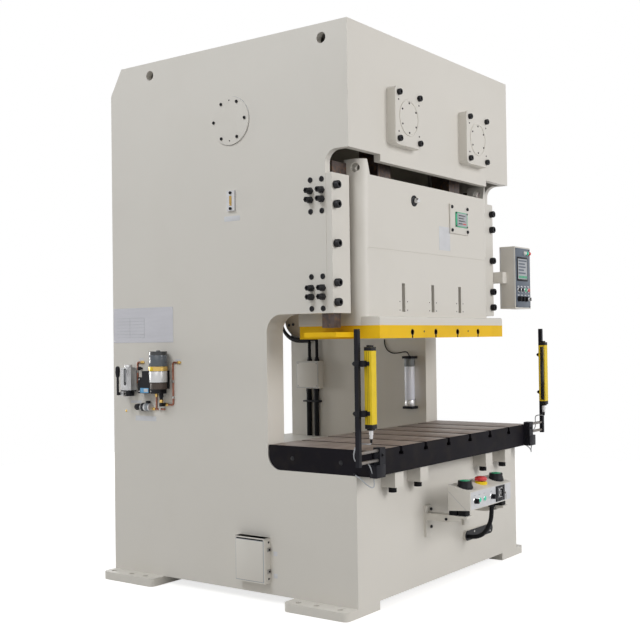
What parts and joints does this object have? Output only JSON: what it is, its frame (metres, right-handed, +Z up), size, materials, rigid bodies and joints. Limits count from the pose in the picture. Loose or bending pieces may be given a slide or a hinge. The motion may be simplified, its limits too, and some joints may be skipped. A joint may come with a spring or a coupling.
{
  "type": "mechanical stamping press",
  "caption": "Gap-frame two-point mechanical stamping press with a wide slide, slotted bolster, side light curtains and a two-hand control station.",
  "frame": {"origin": "floor level, centre of the four main anchor holes", "axes": "+X to the right seen from the front, -Y towards the operator, +Z up"},
  "size_m": [2.256, 2.2413, 3.025],
  "materials": {
    "cream_paint": "satin cream paint",
    "yellow_paint": "satin yellow paint",
    "black_paint": "satin black",
    "machined_steel": "oiled machined steel",
    "gear_steel": "oiled gear steel",
    "bronze": "bearing bronze",
    "silver": "satin",
    "black_rubber": "matt",
    "black_plastic": "matt",
    "green_plastic": "gloss",
    "red_plastic": "gloss",
    "slate_panel": "satin slate paint"
  },
  "bodies": {
    "frame": {"air_regulator": "silver", "balancer_cylinders": "gear_steel", "bearing_bushes": "bronze", "bearing_covers": "cream_paint", "bed_plates": "cream_paint", "bed_table": "cream_paint", "belt_guard": "cream_paint", "bolster_plate": "machined_steel", "bolster_support_blocks": "cream_paint", "column_boxes": "cream_paint", "crown_front_plate": "cream_paint", "crown_panels": "cream_paint", "crown_webs": "cream_paint", "curtain_bars": "yellow_paint", "curtain_brackets": "black_paint", "curtain_posts": "black_paint", "data_plate": "silver", "drive_belt": "black_rubber", "electrical_cabinet": "cream_paint", "foot_pads": "cream_paint", "grease_pump": "silver", "junction_box": "cream_paint", "lubrication_pipes": "silver", "lubricator": "silver", "main_motor": "gear_steel", "oil_gauge": "silver", "pendant_panel": "slate_panel", "round_side_cover": "cream_paint", "side_plate_left": "cream_paint", "side_plate_right": "cream_paint", "slide_gibs": "cream_paint", "station_box": "cream_paint", "station_bracket": "cream_paint", "station_hose": "black_rubber", "terminal_box": "cream_paint", "work_lamp": "black_plastic"},
    "crank_left": {"crankshaft_left": "gear_steel", "main_gear_left": "gear_steel"},
    "crank_right": {"crankshaft_right": "gear_steel", "main_gear_right": "gear_steel"},
    "rod_left": {"connecting_rod_left": "gear_steel"},
    "rod_right": {"connecting_rod_right": "gear_steel"},
    "seats": {"ball_seats": "machined_steel"},
    "slide": {"slide_plate": "yellow_paint", "slide_body": "cream_paint", "slide_rails": "machined_steel", "balancer_rods": "machined_steel"},
    "drive": {"drive_shaft": "gear_steel"},
    "flywheel": {"flywheel": "gear_steel"},
    "motor_rotor": {"motor_pulley": "gear_steel"},
    "palm_left": {"palm_button_left": "green_plastic"},
    "palm_right": {"palm_button_right": "green_plastic"},
    "e_stop": {"e_stop_button": "red_plastic"},
    "selector_left": {"selector_left": "black_plastic"},
    "selector_right": {"selector_right": "black_plastic"},
    "key": {"key_switch": "silver"},
    "pump_lever": {"pump_lever": "black_plastic"},
    "door": {"cabinet_door": "cream_paint"},
    "door_handle": {"cabinet_handle": "black_paint"},
    "regulator": {"regulator_knob": "black_plastic"}
  },
  "joints": [
    {"name": "crank_turn", "type": "hinge", "parent": "frame", "child": "crank_left", "pos_m": [-0.396, -0.69, 2.573], "axis": [0, 1, 0], "range_deg": [0, 180]},
    {"name": "crank_turn_right", "type": "hinge", "parent": "frame", "child": "crank_right", "pos_m": [0.396, -0.69, 2.573], "axis": [0, 1, 0], "range_deg": [-180, 0]},
    {"name": "rod_swing_left", "type": "hinge", "parent": "crank_left", "child": "rod_left", "pos_m": [-0.396, -0.69, 2.628], "axis": [0, 1, 0], "range_deg": [-180, 0]},
    {"name": "rod_swing_right", "type": "hinge", "parent": "crank_right", "child": "rod_right", "pos_m": [0.396, -0.69, 2.628], "axis": [0, 1, 0], "range_deg": [0, 180]},
    {"name": "slide_stroke", "type": "slide", "parent": "frame", "child": "seats", "axis": [0, 0, 1], "range_m": [-0.1101, 0]},
    {"name": "die_height_adjust", "type": "slide", "parent": "seats", "child": "slide", "axis": [0, 0, 1], "range_m": [-0.08, 0]},
    {"name": "drive_turn", "type": "hinge", "parent": "frame", "child": "drive", "pos_m": [-0.09196, 0, 2.21066], "axis": [0, 1, 0], "range_deg": [-930, 0]},
    {"name": "flywheel_spin", "type": "hinge", "parent": "frame", "child": "flywheel", "pos_m": [-0.09196, 0.94, 2.21066], "axis": [0, 1, 0], "continuous": true},
    {"name": "motor_spin", "type": "hinge", "parent": "frame", "child": "motor_rotor", "pos_m": [0.33, 0.94, 2.7], "axis": [0, 1, 0], "continuous": true},
    {"name": "palm_press_left", "type": "slide", "parent": "frame", "child": "palm_left", "axis": [0, 0, -1], "range_m": [0, 0.008], "stiffness_N_per_m": 900, "springref_m": -0.006},
    {"name": "palm_press_right", "type": "slide", "parent": "frame", "child": "palm_right", "axis": [0, 0, -1], "range_m": [0, 0.008], "stiffness_N_per_m": 900, "springref_m": -0.006},
    {"name": "e_stop_press", "type": "slide", "parent": "frame", "child": "e_stop", "axis": [0, 0, -1], "range_m": [0, 0.005]},
    {"name": "selector_turn_left", "type": "hinge", "parent": "frame", "child": "selector_left", "pos_m": [-0.196, -1.167, 0.511], "axis": [0, -1, 0], "range_deg": [-45, 45]},
    {"name": "selector_turn_right", "type": "hinge", "parent": "frame", "child": "selector_right", "pos_m": [0, -1.167, 0.511], "axis": [0, -1, 0], "range_deg": [-45, 45]},
    {"name": "key_turn", "type": "hinge", "parent": "frame", "child": "key", "pos_m": [0.11, -1.167, 0.52], "axis": [0, -1, 0], "range_deg": [0, 90]},
    {"name": "pump_lever_swing", "type": "hinge", "parent": "frame", "child": "pump_lever", "pos_m": [-0.98, 0.695, 1.088], "axis": [0, -1, 0], "range_deg": [0, 70]},
    {"name": "door_swing", "type": "hinge", "parent": "frame", "child": "door", "pos_m": [1.1603, 0.71, 1.3], "axis": [0, 0, 1], "range_deg": [0, 110]},
    {"name": "door_handle_turn", "type": "hinge", "parent": "door", "child": "door_handle", "pos_m": [1.1703, -0.06, 1.3], "axis": [1, 0, 0], "range_deg": [0, 90]},
    {"name": "regulator_turn", "type": "hinge", "parent": "frame", "child": "regulator", "pos_m": [-0.922, 0.66, 1.01], "axis": [0, 1, 0], "range_deg": [-170, 170]}
  ],
  "couplings": [
    {"joint": "crank_turn_right", "follows": "crank_turn", "ratio": -1},
    {"joint": "rod_swing_left", "follows": "crank_turn", "ratio": -1},
    {"joint": "rod_swing_right", "follows": "crank_turn", "ratio": 1},
    {"joint": "slide_stroke", "follows": "crank_turn", "m_per_rad": -0.035014},
    {"joint": "drive_turn", "follows": "crank_turn", "ratio": -5.1429},
    {"joint": "motor_spin", "follows": "flywheel_spin", "ratio": 5}
  ]
}
